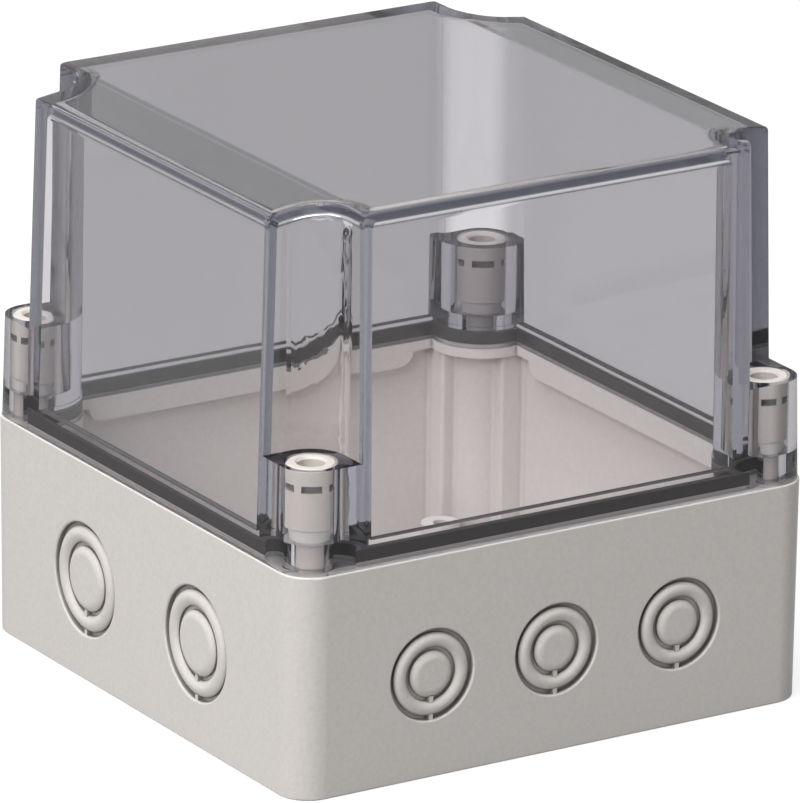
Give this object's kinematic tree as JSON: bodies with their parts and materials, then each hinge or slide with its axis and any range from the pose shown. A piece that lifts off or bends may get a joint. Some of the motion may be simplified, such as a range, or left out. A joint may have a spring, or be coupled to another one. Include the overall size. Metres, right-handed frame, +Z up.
{
  "type": "electrical enclosure",
  "caption": "Square surface enclosure: grey base with metric knock-outs and a high clear cover with notched corners, sealed by a gasket and held by captive screws.",
  "frame": {"origin": "middle of the underside", "axes": "+Z up out of the wall face; -Y faces the side with small knock-outs that the picture shows, -X the side with large ones"},
  "size_m": [0.13, 0.13, 0.1275],
  "materials": {
    "base": "fine moulded light grey",
    "cover": "clear, lightly smoke-tinted",
    "gasket": "matt black",
    "screw": "satin warm light grey",
    "bush": "satin off-white"
  },
  "bodies": {
    "base": {"base": "base"},
    "cover": {"cover": "cover", "gasket": "gasket"},
    "bush_1": {"screw_bush_1": "bush"},
    "screw_1": {"cover_screw_1": "screw"},
    "bush_2": {"screw_bush_2": "bush"},
    "screw_2": {"cover_screw_2": "screw"},
    "bush_3": {"screw_bush_3": "bush"},
    "screw_3": {"cover_screw_3": "screw"},
    "bush_4": {"screw_bush_4": "bush"},
    "screw_4": {"cover_screw_4": "screw"}
  },
  "joints": [
    {"name": "cover_lift", "type": "slide", "parent": "base", "child": "cover", "axis": [0, 0, 1], "range_m": [0, 0.06]},
    {"name": "screw_rise_1", "type": "slide", "parent": "cover", "child": "bush_1", "axis": [0, 0, 1], "range_m": [0, 0.008]},
    {"name": "screw_turn_1", "type": "hinge", "parent": "bush_1", "child": "screw_1", "pos_m": [-0.057, -0.057, 0.073], "axis": [0, 0, 1], "range_deg": [0, 1440]},
    {"name": "screw_rise_2", "type": "slide", "parent": "cover", "child": "bush_2", "axis": [0, 0, 1], "range_m": [0, 0.008]},
    {"name": "screw_turn_2", "type": "hinge", "parent": "bush_2", "child": "screw_2", "pos_m": [-0.057, 0.057, 0.073], "axis": [0, 0, 1], "range_deg": [0, 1440]},
    {"name": "screw_rise_3", "type": "slide", "parent": "cover", "child": "bush_3", "axis": [0, 0, 1], "range_m": [0, 0.008]},
    {"name": "screw_turn_3", "type": "hinge", "parent": "bush_3", "child": "screw_3", "pos_m": [0.057, -0.057, 0.073], "axis": [0, 0, 1], "range_deg": [0, 1440]},
    {"name": "screw_rise_4", "type": "slide", "parent": "cover", "child": "bush_4", "axis": [0, 0, 1], "range_m": [0, 0.008]},
    {"name": "screw_turn_4", "type": "hinge", "parent": "bush_4", "child": "screw_4", "pos_m": [0.057, 0.057, 0.073], "axis": [0, 0, 1], "range_deg": [0, 1440]}
  ],
  "couplings": [
    {"joint": "screw_turn_1", "follows": "screw_rise_1", "rad_per_m": 3141.5},
    {"joint": "screw_turn_2", "follows": "screw_rise_2", "rad_per_m": 3141.5},
    {"joint": "screw_turn_3", "follows": "screw_rise_3", "rad_per_m": 3141.5},
    {"joint": "screw_turn_4", "follows": "screw_rise_4", "rad_per_m": 3141.5}
  ]
}
